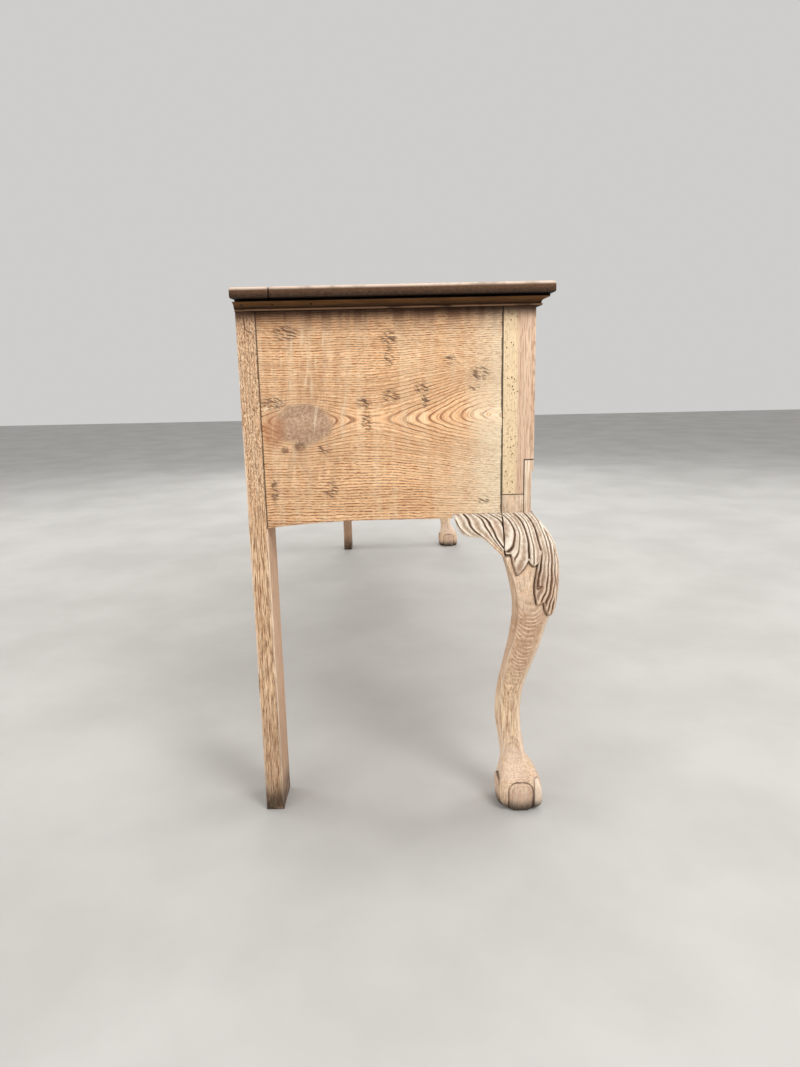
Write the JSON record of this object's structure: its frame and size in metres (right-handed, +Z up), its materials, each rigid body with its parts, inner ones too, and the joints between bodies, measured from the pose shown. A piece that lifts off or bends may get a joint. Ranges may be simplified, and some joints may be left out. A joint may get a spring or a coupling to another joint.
{
  "type": "dresser",
  "caption": "Long low oak dresser base with a moulded top, a row of drawers on brass bail handles, a shaped apron and carved cabriole front legs.",
  "frame": {"origin": "on the floor, under the centre of the overall box", "axes": "+X along the length, -Y is the front with the drawers, +Z up"},
  "size_m": [2.03, 0.487, 0.85],
  "materials": {
    "oak_top": "worn bare oak, dark at the edges",
    "oak_moulding": "dark stained oak",
    "iron": "rusty wrought iron",
    "oak_frame": "bleached dry oak",
    "oak_panel": "bleached dry oak with knots",
    "oak_carved": "bleached dry carved oak",
    "pine": "rough sawn dry wood",
    "oak_drawer_front": "bleached dry oak",
    "oak_lining": "planed dry oak",
    "brass": "worn aged brass"
  },
  "bodies": {
    "carcass": {"top_board_rear": "oak_top", "top_board_front": "oak_top", "end_moulding_left": "oak_moulding", "end_moulding_right": "oak_moulding", "front_moulding": "oak_moulding", "moulding_nails": "iron", "rear_leg_left": "oak_frame", "rear_leg_right": "oak_frame", "front_stile_left": "oak_frame", "front_stile_right": "oak_frame", "front_apron": "oak_frame", "front_top_rail": "oak_frame", "drawer_rail": "oak_frame", "divider_left": "oak_frame", "divider_right": "oak_frame", "side_panel_left": "oak_panel", "side_panel_right": "oak_panel", "front_leg_left": "oak_carved", "front_leg_right": "oak_carved", "end_ear_left": "oak_carved", "end_ear_right": "oak_carved", "front_ear_left": "oak_carved", "front_ear_right": "oak_carved", "runner_end_left": "pine", "runner_end_right": "pine", "runner_centre_left": "pine", "runner_centre_right": "pine", "kickers": "pine", "back_top_rail": "pine", "back_bottom_rail": "pine", "back_board_lower": "pine", "back_board_upper": "pine"},
    "left_drawer": {"left_drawer_front": "oak_drawer_front", "left_drawer_side_left": "oak_lining", "left_drawer_side_right": "oak_lining", "left_drawer_back": "oak_lining", "left_drawer_bottom": "oak_lining", "left_drawer_handle_posts": "brass", "left_drawer_handle_nuts": "brass"},
    "left_drawer_bail_left": {"left_drawer_bail_left": "brass"},
    "left_drawer_bail_right": {"left_drawer_bail_right": "brass"},
    "middle_drawer": {"middle_drawer_front": "oak_drawer_front", "middle_drawer_side_left": "oak_lining", "middle_drawer_side_right": "oak_lining", "middle_drawer_back": "oak_lining", "middle_drawer_bottom": "oak_lining", "middle_drawer_handle_posts": "brass", "middle_drawer_handle_nuts": "brass"},
    "middle_drawer_bail_left": {"middle_drawer_bail_left": "brass"},
    "middle_drawer_bail_right": {"middle_drawer_bail_right": "brass"},
    "right_drawer": {"right_drawer_front": "oak_drawer_front", "right_drawer_side_left": "oak_lining", "right_drawer_side_right": "oak_lining", "right_drawer_back": "oak_lining", "right_drawer_bottom": "oak_lining", "right_drawer_handle_posts": "brass", "right_drawer_handle_nuts": "brass"},
    "right_drawer_bail_left": {"right_drawer_bail_left": "brass"},
    "right_drawer_bail_right": {"right_drawer_bail_right": "brass"}
  },
  "joints": [
    {"name": "left_drawer_slide", "type": "slide", "parent": "carcass", "child": "left_drawer", "axis": [0, -1, 0], "range_m": [0, 0.3]},
    {"name": "left_drawer_bail_left_swing", "type": "hinge", "parent": "left_drawer", "child": "left_drawer_bail_left", "pos_m": [-0.734, -0.2268, 0.7225], "axis": [-1, 0, 0], "range_deg": [0, 90]},
    {"name": "left_drawer_bail_right_swing", "type": "hinge", "parent": "left_drawer", "child": "left_drawer_bail_right", "pos_m": [-0.518, -0.2268, 0.7225], "axis": [-1, 0, 0], "range_deg": [0, 90]},
    {"name": "middle_drawer_slide", "type": "slide", "parent": "carcass", "child": "middle_drawer", "axis": [0, -1, 0], "range_m": [0, 0.3]},
    {"name": "middle_drawer_bail_left_swing", "type": "hinge", "parent": "middle_drawer", "child": "middle_drawer_bail_left", "pos_m": [-0.108, -0.2268, 0.7225], "axis": [-1, 0, 0], "range_deg": [0, 90]},
    {"name": "middle_drawer_bail_right_swing", "type": "hinge", "parent": "middle_drawer", "child": "middle_drawer_bail_right", "pos_m": [0.108, -0.2268, 0.7225], "axis": [-1, 0, 0], "range_deg": [0, 90]},
    {"name": "right_drawer_slide", "type": "slide", "parent": "carcass", "child": "right_drawer", "axis": [0, -1, 0], "range_m": [0, 0.3]},
    {"name": "right_drawer_bail_left_swing", "type": "hinge", "parent": "right_drawer", "child": "right_drawer_bail_left", "pos_m": [0.518, -0.2268, 0.7225], "axis": [-1, 0, 0], "range_deg": [0, 90]},
    {"name": "right_drawer_bail_right_swing", "type": "hinge", "parent": "right_drawer", "child": "right_drawer_bail_right", "pos_m": [0.734, -0.2268, 0.7225], "axis": [-1, 0, 0], "range_deg": [0, 90]}
  ]
}
